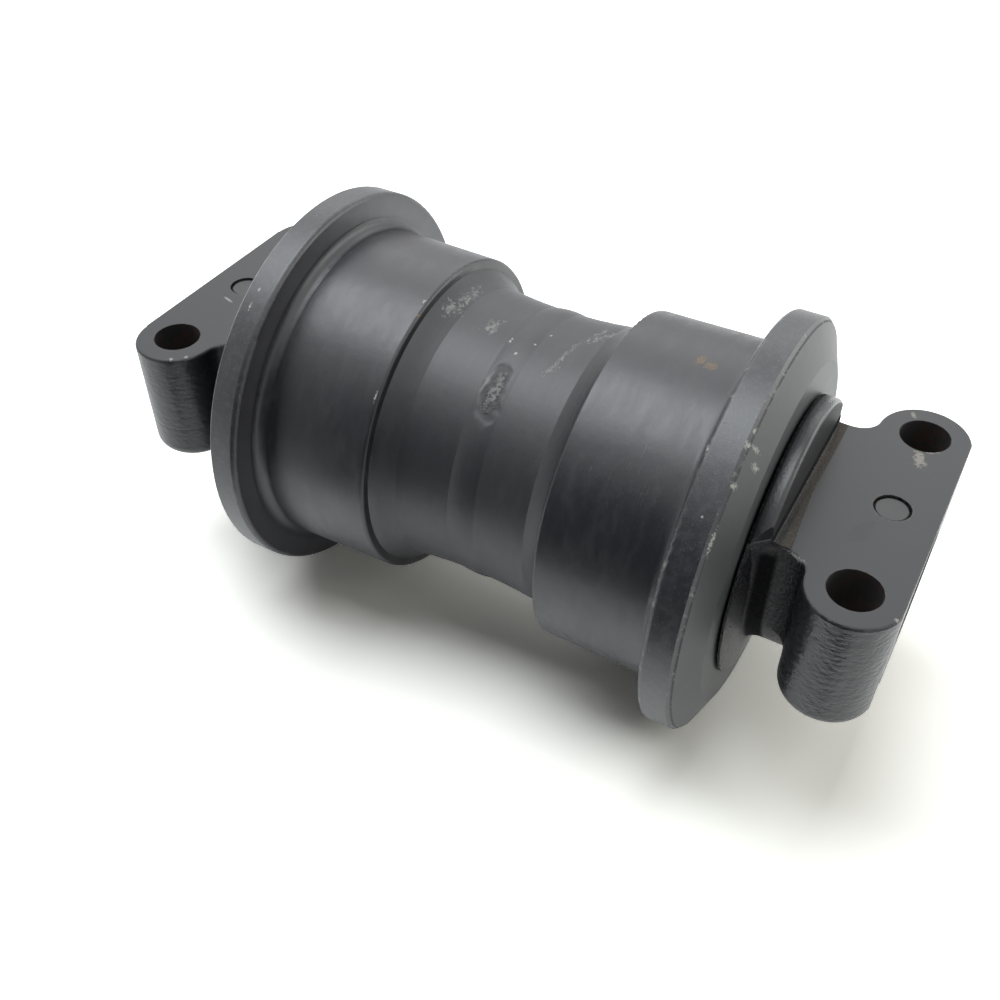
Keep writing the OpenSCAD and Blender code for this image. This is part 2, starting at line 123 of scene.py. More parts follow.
class Nodes:
    """A node tree under construction; most methods add nodes and return the socket that they end in."""

    def __init__(self, tree):
        self.tree = tree

    def add(self, kind, **settings):
        node = self.tree.nodes.new(kind)
        for key, value in settings.items():
            setattr(node, key, value)
        return node

    def feed(self, socket, value):
        if isinstance(value, bpy.types.NodeSocket):
            self.tree.links.new(value, socket)
        else:
            socket.default_value = value

    def sum_up(self, operation, a, b=0.0):
        node = self.add("ShaderNodeMath", operation=operation)
        self.feed(node.inputs[0], a)
        self.feed(node.inputs[1], b)
        return node.outputs[0]

    def chain(self, operation, result, others):
        for other in others:
            result = self.sum_up(operation, result, other)
        return result

    def plus(self, a, b):
        return self.sum_up("ADD", a, b)

    def minus(self, a, b):
        return self.sum_up("SUBTRACT", a, b)

    def times(self, first, *others):
        return self.chain("MULTIPLY", first, others)

    def most(self, first, *others):
        return self.chain("MAXIMUM", first, others)

    def rest(self, share):
        """What is left of 1 beside a share."""
        return self.minus(1.0, share)

    def size_of(self, value):
        return self.sum_up("ABSOLUTE", value)

    def length(self, a, b):
        return self.sum_up("SQRT", self.plus(self.times(a, a), self.times(b, b)))

    def step(self, value, low, high):
        """0 where value is at low, 1 where it is at high, soft between them; low may be the larger."""
        node = self.add("ShaderNodeMapRange", interpolation_type="SMOOTHSTEP")
        self.feed(node.inputs["Value"], value)
        node.inputs["From Min"].default_value = low
        node.inputs["From Max"].default_value = high
        return node.outputs["Result"]

    def band(self, value, low, high, soft):
        """1 between low and high, 0 outside, with soft ends."""
        risen = self.step(value, low - soft, low + soft)
        return self.times(risen, self.step(value, high + soft, high - soft))

    def close_to(self, value, place, outside, inside):
        """1 where value is closer to a place than inside, 0 where it is farther off than outside."""
        return self.step(self.size_of(self.minus(value, place)), outside, inside)

    def spread(self, value, low, high):
        """Stretches a value of 0 to 1 so that it runs from low to high."""
        node = self.add("ShaderNodeMapRange")
        self.feed(node.inputs["Value"], value)
        node.inputs["To Min"].default_value = low
        node.inputs["To Max"].default_value = high
        return node.outputs["Result"]

    def mixed(self, kind, share, a, b):
        first, second, result = MIX_SOCKETS[kind]
        node = self.add("ShaderNodeMix", data_type=kind)
        self.feed(node.inputs["Factor"], share)
        self.feed(node.inputs[first], a)
        self.feed(node.inputs[second], b)
        return node.outputs[result]

    def mix(self, share, a, b):
        """Colour a where share is 0, colour b where it is 1."""
        return self.mixed("RGBA", share, a, b)

    def blend(self, share, a, b):
        """Number a where share is 0, number b where it is 1."""
        return self.mixed("FLOAT", share, a, b)


def moves(helper):
    """The names of what a helper adds."""
    return ", ".join(name for name in vars(helper) if not name.startswith("_"))


print("sums and mixes:", moves(Nodes))

# %% Helper for noise and marks
class Patterns(Nodes):
    """Nodes that know where a point lies on its piece."""

    def __init__(self, tree):
        super().__init__(tree)
        self.place = self.add("ShaderNodeTexCoord").outputs["Object"]

    def axes(self):
        """The point's x, y and z, in mm."""
        scaled = self.add("ShaderNodeVectorMath", operation="SCALE")
        self.feed(scaled.inputs[0], self.place)
        scaled.inputs["Scale"].default_value = 1 / MM
        split = self.add("ShaderNodeSeparateXYZ")
        self.feed(split.inputs[0], scaled.outputs[0])
        return split.outputs

    def noise(self, size, detail=3.0, rough=0.55, stretch=(1, 1, 1)):
        """Cloudy noise of 0 to 1 whose blots measure about size, in mm, times stretch along each axis."""
        mapping = self.add("ShaderNodeMapping")
        self.feed(mapping.inputs["Vector"], self.place)
        mapping.inputs["Scale"].default_value = [1 / (size * MM * s) for s in stretch]
        node = self.add("ShaderNodeTexNoise")
        self.feed(node.inputs["Vector"], mapping.outputs["Vector"])
        node.inputs["Scale"].default_value = 1.0
        node.inputs["Detail"].default_value = detail
        node.inputs["Roughness"].default_value = rough
        return node.outputs["Fac"]

    def torn(self, size, reach):
        """Noise for the ragged edge of a mark, between -reach and reach."""
        return self.spread(self.step(self.noise(size, detail=5.0, rough=0.7), 0.3, 0.7), -reach, reach)

    def blot(self, torn, at, half, turn):
        """1 inside a ragged patch at a point, 0 outside; half is its half widths in mm."""
        mapping = self.add("ShaderNodeMapping", vector_type="TEXTURE")
        self.feed(mapping.inputs["Vector"], self.place)
        mapping.inputs["Location"].default_value = [c * MM for c in at]
        mapping.inputs["Rotation"].default_value = turn
        mapping.inputs["Scale"].default_value = [h * MM for h in half]
        reach = self.add("ShaderNodeVectorMath", operation="LENGTH")
        self.feed(reach.inputs[0], mapping.outputs["Vector"])
        return self.step(self.plus(reach.outputs["Value"], torn), 1.0, 0.45)

    def edges(self, radius):
        """1 along sharp outer edges within radius, in mm, and 0 on open faces."""
        bevel = self.add("ShaderNodeBevel", samples=6)
        bevel.inputs["Radius"].default_value = radius * MM
        surface = self.add("ShaderNodeNewGeometry")
        lean = self.add("ShaderNodeVectorMath", operation="DOT_PRODUCT")
        self.feed(lean.inputs[0], bevel.outputs["Normal"])
        self.feed(lean.inputs[1], surface.outputs["Normal"])
        return self.step(lean.outputs["Value"], 0.985, 0.85)


print("noise and marks:", moves(Patterns))

# %% Helper for coats and reliefs
class Finish(Patterns):
    """A material under construction."""

    def __init__(self, name):
        self.material = bpy.data.materials.new(name)
        self.material.use_nodes = True
        super().__init__(self.material.node_tree)

    def layers(self, colour, *rows):
        """A colour with others laid over it in turn; a row is where, how strongly and which colour."""
        for share, strength, over in rows:
            colour = self.mix(self.times(share, strength), colour, over)
        return colour

    def patches(self, number, *rows):
        """A number with others in its place; a row is where and which number."""
        for share, other in rows:
            number = self.blend(share, number, other)
        return number

    def reliefs(self, *rows, under=None):
        """Surfaces on top of each other; a row is a height and, in mm, how far up a height of 1 stands."""
        for height, depth in rows:
            node = self.add("ShaderNodeBump")
            node.inputs["Distance"].default_value = depth * MM
            self.feed(node.inputs["Height"], height)
            if under is not None:
                self.feed(node.inputs["Normal"], under)
            under = node.outputs["Normal"]
        return under

    def done(self, sockets):
        """Feeds the Principled shader's sockets, which go by their names, and returns the material."""
        shader = self.tree.nodes["Principled BSDF"]
        for name, value in sockets.items():
            self.feed(shader.inputs[name], value)
        print("finish", self.material.name, "with", len(self.tree.nodes), "nodes")
        return self.material


print("coats and reliefs:", moves(Finish))

# %% [markdown]
# ## Paint on the shell
# The whole roller is sprayed black after it is put together. The paint is a thin satin coat, so each zone
# shows the metal under it: turned treads, a forged waist with faint rings, and forged rims with a grainy
# skin. One material with masks by radius and by place along the axis keeps the coat in one piece.

# %% Zones of the shell
rim_out = 90.0
flange_in = 77.6
tread_r = 61.9
shoulder_y = 33.3
waist_r = 51.2

shell = Finish("black_shell_paint")
sx, sy, sz = shell.axes()
radius = shell.length(sx, sz)
along = shell.size_of(sy)
on_rim = shell.step(radius, flange_r - 2.6, flange_r - 1.0)
on_waist = shell.times(
    shell.step(along, shoulder_y, shoulder_y - 3),
    shell.step(radius, tread_r, tread_r - 3),
)
on_end = shell.step(along, rim_out - 0.3, rim_out + 0.2)
on_inner_face = shell.times(
    shell.band(along, flange_in - 0.6, flange_in + 0.6, 0.4),
    shell.band(radius, tread_r + 4, flange_r - 1.5, 1.5),
)
print(f"treads from {shoulder_y} to {flange_in} mm and rims out to {rim_out} mm along the axis")

# %% Relief of the shell
grain = shell.noise(0.5, detail=4, rough=0.65)
rings = shell.noise(2.6, detail=4, rough=0.6, stretch=(30, 1, 30))
turning = shell.noise(0.5, detail=2, stretch=(60, 1, 60))
forged_skin = shell.reliefs(
    (shell.noise(7, detail=3), 0.10),
    (turning, 0.006),
    (shell.noise(0.8, detail=3), 0.018),
    (shell.times(grain, on_rim), 0.045),
    (shell.times(rings, on_waist), 0.14),
)
print("zones and relief of the shell:", len(shell.tree.nodes), "nodes")

# %% [markdown]
# ## Marks on the shell
# Handling has left its traces: chalky scuffs on the waist, chipped paint along the flange rims, a few rust
# spots, fine scratches on a tread, and a pitted scar from the forging beside the weld. They could be
# painted as an image, but some three dozen ragged blots placed on the shell need no image and stay sharp
# at any distance. The sides that the photograph doesn't show get lighter wear from noise alone.

# %% Helpers for marks on the shell
mark_depth = 3.0
wisp = shell.torn(1.5, 0.75)
crumb = shell.torn(0.7, 0.7)


def shell_mark(torn, clock, y, r, half_along, half_round, lean=0.0):
    """A blot on the round shell, at clock degrees up from the front, y along the axis and r out from it."""
    angle = math.radians(clock)
    at = (-r * math.cos(angle), y, r * math.sin(angle))
    half = (mark_depth, half_along, half_round)
    return shell.blot(torn, at, half, (math.radians(lean), angle, 0))


def shell_marks(torn, rows):
    """All the marks as one mask; a row is what shell_mark takes after torn."""
    return shell.most(*[shell_mark(torn, *row) for row in rows])


print("marks reach", mark_depth, "mm in and out of the surface")

# %% Scuffs and flecks on the waist
streaks = shell.step(shell.noise(1.2, detail=5, rough=0.6, stretch=(2.6, 1, 1)), 0.34, 0.66)
# A row is the clock in degrees, y, r and the half widths along and round in mm, and a lean in degrees.
scuff_rows = (
    (83.5, 29.8, waist_r + 3, 4.2, 4.0),
    (94.0, 28.0, waist_r + 2, 2.0, 8.5, 3),
    (85.5, 13.4, waist_r, 2.3, 4.0, 20),
    (82.4, 12.2, waist_r, 1.3, 1.8),
    (73.0, -14.3, waist_r, 1.7, 3.8, 14),
    (82.0, -16.0, waist_r, 1.0, 8.5, 11),
    (99.0, -23.4, waist_r, 2.2, 7.0, 31),
    (103.0, -20.8, waist_r, 1.0, 3.6, 20),
)
fleck_rows = (
    (80.8, 4.3, waist_r, 0.5, 1.5, 5),
    (90.4, -6.6, waist_r, 0.4, 0.5),
    (82.7, -4.1, waist_r, 0.4, 0.5),
    (75.2, -0.4, waist_r, 0.5, 0.7),
    (76.7, 35.0, tread_r, 0.5, 1.0, 10),
    (41.0, 34.9, tread_r - 1, 0.35, 2.2),
)
scuffs = shell.times(streaks, shell_marks(wisp, scuff_rows))
flecks = shell_marks(crumb, fleck_rows)
print(len(scuff_rows), "scuffs and", len(fleck_rows), "flecks")

# %% Chips and edges of the rims
chip_rows = (
    (60.2, -89.1, flange_r - 0.6, 0.9, 1.2),
    (64.1, -89.3, flange_r - 1, 0.5, 1.0),
    (60.9, -91.2, flange_r - 4.5, 1.6, 0.9),
    (57.4, -92.4, flange_r - 7.5, 1.2, 1.2),
    (50.5, -89.8, flange_r - 1.4, 0.9, 1.2),
    (37.0, -89.6, flange_r - 1, 0.5, 4.0),
    (41.7, -84.9, flange_r, 0.4, 0.5),
    (56.5, -78.9, flange_r, 0.35, 0.9),
    (60.0, 89.4, flange_r, 0.4, 0.8),
    (57.5, 84.6, flange_r, 0.5, 0.8),
    (52.5, 85.0, flange_r, 0.4, 1.6),
)
chips = shell_marks(crumb, chip_rows)
rim_edge = shell.times(on_rim, shell.most(
    shell.close_to(along, rim_out - 0.8, 1.1, 0.4),
    shell.close_to(sy, -flange_in - 1.2, 1.0, 0.4),
))
# The outer chamfer of the rims, where shade is painted: darker paint and a rougher surface further down.
rim_break_shade = shell.times(
    shell.band(radius, flange_r - 2.0, flange_r - 1.0, 0.2),
    shell.band(along, rim_out - 2.0, rim_out - 0.15, 0.15),
)
rubbed = shell.times(rim_edge, shell.step(shell.noise(3.5, detail=5, rough=0.7), 0.54, 0.68))
print(len(chip_rows), "chips, and rubbed edges on the rims")

# %% Rust spots and scratches
rust_rows = (
    (88.5, -60.8, tread_r, 1.7, 2.6),
    (87.3, -64.6, tread_r, 2.0, 2.2),
    (66.9, -90.3, flange_r - 2.3, 0.4, 0.5),
    (63.0, -80.5, flange_r, 0.4, 0.5),
    (68.9, 82.4, flange_r, 0.4, 0.5),
    (70.9, 34.0, tread_r, 0.45, 0.7),
)
rust_spots = shell_marks(crumb, rust_rows)
scratches = shell.times(
    shell.step(shell.noise(0.4, detail=3, stretch=(12, 1, 12)), 0.6, 0.72),
    shell_mark(wisp, 44, -58, tread_r, 17, 17),
)
print(len(rust_rows), "rust spots, and scratches on the near tread")

# %% Wear on the sides that the photograph doesn't show
other_side = shell.most(shell.step(sx, 12, 32), shell.step(sz, -38, -52))
handled = shell.times(
    other_side,
    shell.step(shell.noise(24, detail=3, rough=0.6), 0.56, 0.68),
    shell.step(shell.noise(1.4, detail=5, rough=0.65, stretch=(2.2, 1, 2.2)), 0.52, 0.64),
)
knocks = shell.times(other_side, on_rim, shell.step(shell.noise(5, detail=5, rough=0.75), 0.66, 0.7))
print("with its marks and wear:", len(shell.tree.nodes), "nodes")

# %% Forging scar
scar_edge = shell.torn(2.4, 0.25)
scoop_edge = shell.spread(shell.noise(7, detail=1), -0.5, 0.5)
scoop_depth = -0.5
pit_height = 0.5
scoop = shell_mark(scoop_edge, 58.5, 0, waist_r, 5, 15)
scar_core = shell_mark(scar_edge, 57, -0.4, waist_r, 3.2, 9.5)
scar_lip = shell_mark(scar_edge, 60, 4.0, waist_r, 0.9, 7, 10)
pits = shell.noise(1.4, detail=2, rough=0.5)
scarred_skin = shell.reliefs(
    (scoop, scoop_depth),
    (shell.times(scar_core, pits), pit_height),
    under=forged_skin,
)
print("scar shaded as if", -scoop_depth, "mm deep")

# %% Coat of the shell
paint_black = (0.0098, 0.0098, 0.0138, 1)
paint_faded = (0.0165, 0.0168, 0.0220, 1)
paint_dusty = (0.095, 0.100, 0.096, 1)
paint_inner = (0.060, 0.060, 0.070, 1)
end_face_sheen = (0.060, 0.064, 0.066, 1)
rim_blue = (0.046, 0.049, 0.055, 1)
speck_grey = (0.2, 0.2, 0.2, 1)
scar_grey = (0.19, 0.195, 0.185, 1)
chalk = (0.40, 0.41, 0.38, 1)
chip_light = (0.46, 0.46, 0.42, 1)
rust_tan = (0.33, 0.23, 0.14, 1)

cloud = shell.noise(16, detail=5)
mottle = shell.noise(2.8, detail=5, rough=0.65)
smears = shell.noise(4.5, detail=6, rough=0.68, stretch=(3, 1, 3))
dust = shell.step(shell.noise(0.45, detail=2), 0.72, 0.8)
speckle = shell.times(on_rim, shell.step(shell.noise(0.6, detail=2), 0.62, 0.72))
coat = shell.layers(
    shell.mix(cloud, paint_black, paint_faded),
    (on_waist, 0.06, paint_dusty),
    (shell.step(smears, 0.45, 0.75), 0.12, paint_dusty),
    (dust, 0.25, chalk),
    (on_inner_face, 1.0, paint_inner),
    # Painted reflection: the shell's end faces get a lighter grey-green than the black paint.
    (on_end, 1.0, end_face_sheen),
    (on_rim, shell.spread(shell.step(mottle, 0.4, 0.7), 0.25, 0.9), rim_blue),
    (speckle, 0.45, speck_grey),
    # Painted shade on the rims' outer chamfer.
    (rim_break_shade, 0.7, paint_black),
    (scoop, 0.35, paint_black),
    (shell.times(scar_core, shell.step(pits, 0.38, 0.54)), 0.9, scar_grey),
    (scar_lip, 0.25, chalk),
    (scuffs, 0.55, chalk),
    (scratches, 0.12, chalk),
    (handled, 0.16, chalk),
    (rubbed, 0.4, chip_light),
    (shell.most(chips, flecks, shell.times(knocks, 0.6)), 1.0, chip_light),
    (rust_spots, 0.5, rust_tan),
)
print("with its coat:", len(shell.tree.nodes), "nodes")

# %% Gloss of the shell
satin = shell.spread(cloud, 0.36, 0.44)
smeared = shell.spread(shell.step(smears, 0.3, 0.7), -0.05, 0.05)
gloss = shell.patches(
    shell.plus(satin, smeared),
    (on_rim, shell.spread(mottle, 0.32, 0.44)),
    (on_waist, 0.48),
    (scoop, 0.62),
    (on_end, 0.46),
    (shell.most(scuffs, flecks, chips, rust_spots, rim_break_shade), 0.7),
)
shell_material = shell.done({
    "Base Color": coat,
    "Roughness": gloss,
    "Normal": scarred_skin,
    "IOR": 1.65,
})

# %% [markdown]
# ## Paint on the collars
# The collars are sand castings: grainy all over, with wrinkles on the bosses, except where a cutter has
# been. The mount faces are milled flat and the bolt holes are bored, so both are smooth. The crown was
# ground to a low barrel, and the strip at its foot has rusted. The hollow behind the hub, the crown's steep
# wall and the gap beside the shell are painted near black with a weak reflection, as painted shade. Masks
# by height, by place along the axis and by distance from the bolts tell these zones apart.

# %% Zones of the collars
crown_y = 101.5
strip_w = 3.8
boss_r = 15.5

collar = Finish("black_collar_paint")
cx, cy, cz = collar.axes()
c_along = collar.size_of(cy)
from_bolt = collar.length(collar.minus(collar.size_of(cx), bolt_x), collar.minus(c_along, bolt_y))
near_end = collar.step(cy, 20, -20)
beyond_crown = collar.step(c_along, crown_y + 0.2, crown_y + 0.6)
milled = collar.times(collar.band(cz, mount_h - 0.12, mount_h + 0.2, 0.1), beyond_crown)
bored = collar.step(from_bolt, bolt_r + 0.3, bolt_r + 0.1)
on_boss = collar.step(from_bolt, boss_r + 3, boss_r + 0.5)
crown = collar.step(cz, mount_h + 1.4, mount_h + 2.4)
strip = collar.times(
    collar.band(c_along, crown_y, crown_y + strip_w, 0.3),
    collar.band(cz, mount_h - 0.3, mount_h + 1.3, 0.1),
)
ledge = collar.most(
    collar.times(collar.band(cz, mount_h + 0.3, mount_h + 1.3, 0.15), beyond_crown),
    strip,
)
cast = collar.times(collar.rest(milled), collar.rest(bored), collar.spread(crown, 1.0, 0.12))
print(f"crown out to {crown_y} mm along the axis, bosses {2 * boss_r:.0f} mm wide")

# %% Places in the collars' shade
hub_r = 50.5
hub_back = 98.9

c_radius = collar.length(cx, cz)
# Masks of painted shade: the hollow behind the hub, the hub's flank, the crown's steep wall and the gap
# beside the shell are painted near black and given a weak reflection.
hollow_shade = collar.times(
    collar.band(c_along, hub_back, crown_y + 3, 1.0),
    collar.step(c_radius, hub_r - 0.5, hub_r - 4),
    collar.step(cz, mount_h - 2, mount_h - 6),
)
flank_shade = collar.times(
    collar.band(c_along, hub_back - 6, hub_back + 0.3, 0.5),
    collar.step(c_radius, hub_r - 3, hub_r - 1),
    collar.step(cz, mount_h - 4, mount_h - 10),
)
crown_wall_shade = collar.times(
    collar.step(c_along, crown_y - 0.15, crown_y + 0.15),
    collar.step(cz, mount_h + 1.2, mount_h + 1.6),
)
gap_shade = collar.times(crown, collar.step(c_along, hub_back - 1.4, hub_back - 2.8))
unlit = collar.most(hollow_shade, gap_shade, crown_wall_shade, collar.times(flank_shade, 0.4))
print(f"hub disc {2 * hub_r:.0f} mm wide, its back {hub_back} mm along the axis")

# %% Relief of the collars
crown_mid = 100.4
crown_half = 4.7
parting_z = -4.0

wrinkles = collar.noise(2.0, detail=3, rough=0.55, stretch=(1.35, 1.35, 0.75))
sand = collar.noise(1.0, detail=4, rough=0.65)
lumps = collar.noise(6, detail=3)
cast_height = collar.plus(collar.blend(on_boss, collar.times(sand, 2.2), wrinkles), lumps)
parting = collar.times(collar.close_to(cz, parting_z, 0.7, 0.2), on_boss, collar.rest(near_end))
off_mid = collar.minus(collar.sum_up("MINIMUM", c_along, crown_y), crown_mid)
across = collar.times(off_mid, 1 / crown_half)
collar_skin = collar.reliefs(
    (collar.times(cast_height, cast, collar.spread(near_end, 0.6, 1.0)), 0.38),
    (collar.times(parting, cast, collar.noise(5)), -0.12),
    (collar.times(across, across), -0.45),
    (collar.times(collar.noise(0.5, detail=2), milled), 0.01),
)
print("zones and relief of the collars:", len(collar.tree.nodes), "nodes")

# %% Marks on the mount faces
def face_marks(torn, rows):
    """Blots on the mount faces as one mask; a row is x, y, lift off the face, half widths and turn."""
    return collar.most(*[
        collar.blot(torn, (x, y, mount_h + lift), half, (0, 0, turn))
        for x, y, lift, half, turn in rows
    ])


face_rows = (
    (-45.9, -143.3, 0, (0.7, 0.8, 2), 0),
    (-55.0, -138.0, -0.5, (1.0, 2.4, 2), 0.5),
    (-11.2, 129.2, 0, (0.6, 3.0, 2), -0.3),
    (-52.5, 121.9, 0, (0.8, 0.8, 2), 0),
    (-48.8, 118.0, 0, (0.9, 0.7, 2), 0),
    (-36.3, -104.4, 0.6, (1.3, 1.6, 2), 0),
    (-35.6, -110.0, -0.3, (0.7, 3.6, 1.2), -0.39),
)
hole_rows = (
    (50.3, -123.0, 0, (2.4, 1.0, 2), 0.46),
    (28.2, -130.7, 0, (5.4, 2.3, 2), 0.36),
    (33.3, -133.4, 0, (1.2, 2.7, 2), 0.62),
)
stain_rows = ((-14.9, -123.6, 0, (7, 4, 3), 0),)
face_chips = face_marks(collar.torn(0.5, 0.6), face_rows)
hole_scuffs = collar.times(milled, face_marks(collar.torn(1.4, 0.4), hole_rows))
stain = face_marks(collar.torn(5, 0.5), stain_rows)
print(len(face_rows), "chips,", len(hole_rows), "scuffs and", len(stain_rows), "stain on the mount faces")

# %% Wear, rust, painted shade and painted glints on the collars
wear = collar.times(collar.edges(1.2), collar.step(collar.noise(1.6, detail=5, rough=0.7), 0.46, 0.6))
hole_rust = collar.times(bored, collar.step(collar.noise(5, detail=5, rough=0.65), 0.45, 0.62))
ledge_specks = collar.times(ledge, collar.step(collar.noise(0.8, detail=3), 0.55, 0.7))
# Painted shade on the ledge beside the crown's wall, on the near side only.
ledge_shade = collar.times(ledge, collar.step(c_along, crown_y + 3.4, crown_y + 2.2), collar.step(cx, 5, -25))
# Painted glints: light specks on the tops of the sand grains, fainter on the end face.
grain_glints = collar.times(
    collar.step(sand, 0.47, 0.62), cast, collar.rest(on_boss), collar.rest(crown),
    collar.step(c_along, crown_y - 1, crown_y + 1),
    collar.spread(collar.step(c_along, collar_end - 2, collar_end - 0.5), 1.0, 0.35),
)
print("with their marks and wear:", len(collar.tree.nodes), "nodes")

# %% Coat of the collars
crown_grey = (0.034, 0.035, 0.038, 1)
shade_black = (0.004, 0.004, 0.005, 1)
glint_grey = (0.085, 0.085, 0.092, 1)
bore_dark = (0.012, 0.010, 0.009, 1)
bore_rust = (0.035, 0.016, 0.009, 1)
milled_grey = (0.030, 0.0303, 0.0318, 1)
stain_dark = (0.012, 0.012, 0.013, 1)
ledge_brown = (0.055, 0.046, 0.036, 1)
ledge_tan = (0.13, 0.11, 0.085, 1)
ledge_shade_black = (0.005, 0.005, 0.006, 1)
worn_grey = (0.2, 0.2, 0.19, 1)
scuff_tan = (0.34, 0.315, 0.28, 1)

c_cloud = collar.noise(12, detail=5)
c_coat = collar.layers(
    collar.mix(c_cloud, paint_black, paint_faded),
    (crown, 0.6, crown_grey),
    # Painted shade: near black in the gap beside the shell, on the crown's wall, in the hollow and on the
    # hub's flank.
    (collar.most(gap_shade, crown_wall_shade), 0.9, shade_black),
    # Painted glints: light specks on the sand grains.
    (grain_glints, 0.6, glint_grey),
    (collar.most(hollow_shade, collar.times(flank_shade, 0.6)), 0.8, shade_black),
    (bored, 0.8, bore_dark),
    (hole_rust, 0.8, bore_rust),
    (milled, 0.8, milled_grey),
    (stain, 0.5, stain_dark),
    (ledge, 0.9, ledge_brown),
    (ledge_specks, 0.6, ledge_tan),
    # Painted shade: a near-black band on the ledge beside the crown, on the near side.
    (ledge_shade, 0.85, ledge_shade_black),
    (collar.times(wear, collar.rest(ledge)), 0.35, worn_grey),
    (face_chips, 0.8, chip_light),
    (hole_scuffs, 0.75, scuff_tan),
)
print("with their coat:", len(collar.tree.nodes), "nodes")

# %% Gloss of the collars
c_gloss = collar.patches(
    collar.plus(collar.spread(c_cloud, 0.24, 0.32), collar.times(collar.rest(near_end), 0.08)),
    (milled, 0.43),
    (collar.most(ledge, bored, hollow_shade, gap_shade, crown_wall_shade), 0.8),
    (collar.most(face_chips, hole_scuffs), 0.7),
)
collar_material = collar.done({
    "Base Color": c_coat,
    "Roughness": c_gloss,
    "Normal": collar_skin,
    "Specular IOR Level": collar.spread(unlit, 0.5, 0.1),
    "IOR": 1.55,
})

# %% [markdown]
# ## Lock pins
# A lock pin is a plain dowel, driven in flush through the mount face and sprayed over with it. Only its
# end shows, with a thin line of rust where the paint has cracked round it. A ring mask about its axis
# gives that line.

# %% Paint and rust on the lock pins
pin_dark = (0.014, 0.0143, 0.015, 1)
pin_light = (0.019, 0.019, 0.020, 1)
pin_rust = (0.11, 0.07, 0.035, 1)

pin = Finish("lock_pin_paint")
px, py, _ = pin.axes()
from_pin = pin.length(px, pin.minus(pin.size_of(py), bolt_y))
pin_edge = pin.times(
    pin.step(from_pin, pin_r - 1.1, pin_r - 0.3),
    pin.step(pin.noise(2.4, detail=4), 0.42, 0.6),
)
pin_paint = pin.mix(pin.noise(4, detail=4), pin_dark, pin_light)
pin_material = pin.done({
    "Base Color": pin.layers(pin_paint, (pin_edge, 0.8, pin_rust)),
    "Roughness": pin.spread(pin.noise(3), 0.40, 0.5),
    "Normal": pin.reliefs((pin.noise(0.6, detail=3), 0.015)),
    "IOR": 1.65,
})

# %% [markdown]
# ## Shaft and oil plug
# The shaft is ground bright where it runs, and black where the spray reached its two ends. The end faces
# still show the rings of the lathe. The oil plug was sprayed along with them, and its plating shows
# through here and there, most of all along its edges. Bare steel and paint are one material here, mixed
# by place.

# %% Steel and overspray on the shaft
ground_steel = (0.46, 0.47, 0.49, 1)
shaft_black = (0.016, 0.0165, 0.018, 1)
lathe_rate = 9.0

shaft = Finish("shaft_steel")
hx, hy, hz = shaft.axes()
h_along = shaft.size_of(hy)
sprayed = shaft.times(
    shaft.step(h_along, shaft_end - 5, shaft_end - 2.5),
    shaft.spread(shaft.step(shaft.noise(3, detail=5, rough=0.7), 0.6, 0.7), 1.0, 0.75),
)
lathe = shaft.sum_up("SINE", shaft.times(shaft.length(hx, hz), lathe_rate))
lathe_rings = shaft.times(lathe, shaft.step(h_along, shaft_end - 1, shaft_end - 0.2))
shaft_material = shaft.done({
    "Base Color": shaft.mix(sprayed, ground_steel, shaft_black),
    "Roughness": shaft.blend(sprayed, shaft.spread(shaft.noise(2), 0.2, 0.32), 0.4),
    "Normal": shaft.reliefs((lathe_rings, 0.02)),
    "Metallic": shaft.spread(sprayed, 1.0, 0.0),
    "IOR": 1.65,
})

# %% Plated steel of the oil plug
plating_dark = (0.34, 0.33, 0.30, 1)
plating_light = (0.52, 0.51, 0.48, 1)
plug_black = (0.018, 0.018, 0.019, 1)

plug = Finish("oil_plug_plating")
plug_tone = plug.noise(2.5, detail=5, rough=0.65)
plug_spray = plug.times(
    plug.step(plug.noise(6, detail=3), 0.3, 0.42),
    plug.rest(plug.times(plug.edges(0.7), 0.7)),
)
plug_material = plug.done({
    "Base Color": plug.mix(plug_spray, plug.mix(plug_tone, plating_dark, plating_light), plug_black),
    "Roughness": plug.spread(plug_tone, 0.28, 0.45),
    "Normal": plug.reliefs((plug_tone, 0.02)),
    "Metallic": plug.spread(plug_spray, 1.0, 0.0),
})

# %% [markdown]
# ## Pieces inside the roller
# Bushes, seal rings and rubber rings are hidden in the assembled roller, but they are seen when the part
# is taken apart. Each gets the surface of its trade: bored bronze, lapped iron, moulded rubber and soft
# copper, from one small helper, because they differ only in colour, gloss and the grain of the cut.

# %% Finishes of the inner pieces
def machined(name, dark, light, low, high, metallic, grain_size, depth):
    """A machined or moulded surface: two tones, a range of roughness, and rings round the axis."""
    finish = Finish(name)
    tone = finish.noise(3.0, detail=4)
    cut = finish.noise(grain_size, detail=3, stretch=(25, 1, 25))
    return finish.done({
        "Base Color": finish.mix(tone, dark, light),
        "Roughness": finish.spread(tone, low, high),
        "Normal": finish.reliefs((cut, depth)),
        "Metallic": metallic,
    })


# A row is what machined takes: name, two tones, range of roughness, metallic, grain and depth in mm.
inner_rows = (
    ("bush_bronze", (0.50, 0.33, 0.14, 1), (0.68, 0.49, 0.25, 1), 0.28, 0.42, 1.0, 0.4, 0.01),
    ("seal_iron", (0.34, 0.35, 0.37, 1), (0.46, 0.47, 0.49, 1), 0.18, 0.3, 1.0, 0.3, 0.005),
    ("seal_rubber", (0.014, 0.014, 0.015, 1), (0.026, 0.026, 0.027, 1), 0.5, 0.65, 0.0, 0.8, 0.02),
    ("washer_copper", (0.56, 0.28, 0.16, 1), (0.74, 0.43, 0.28, 1), 0.3, 0.45, 1.0, 0.4, 0.01),
)
inner_finishes = {row[0]: machined(*row) for row in inner_rows}

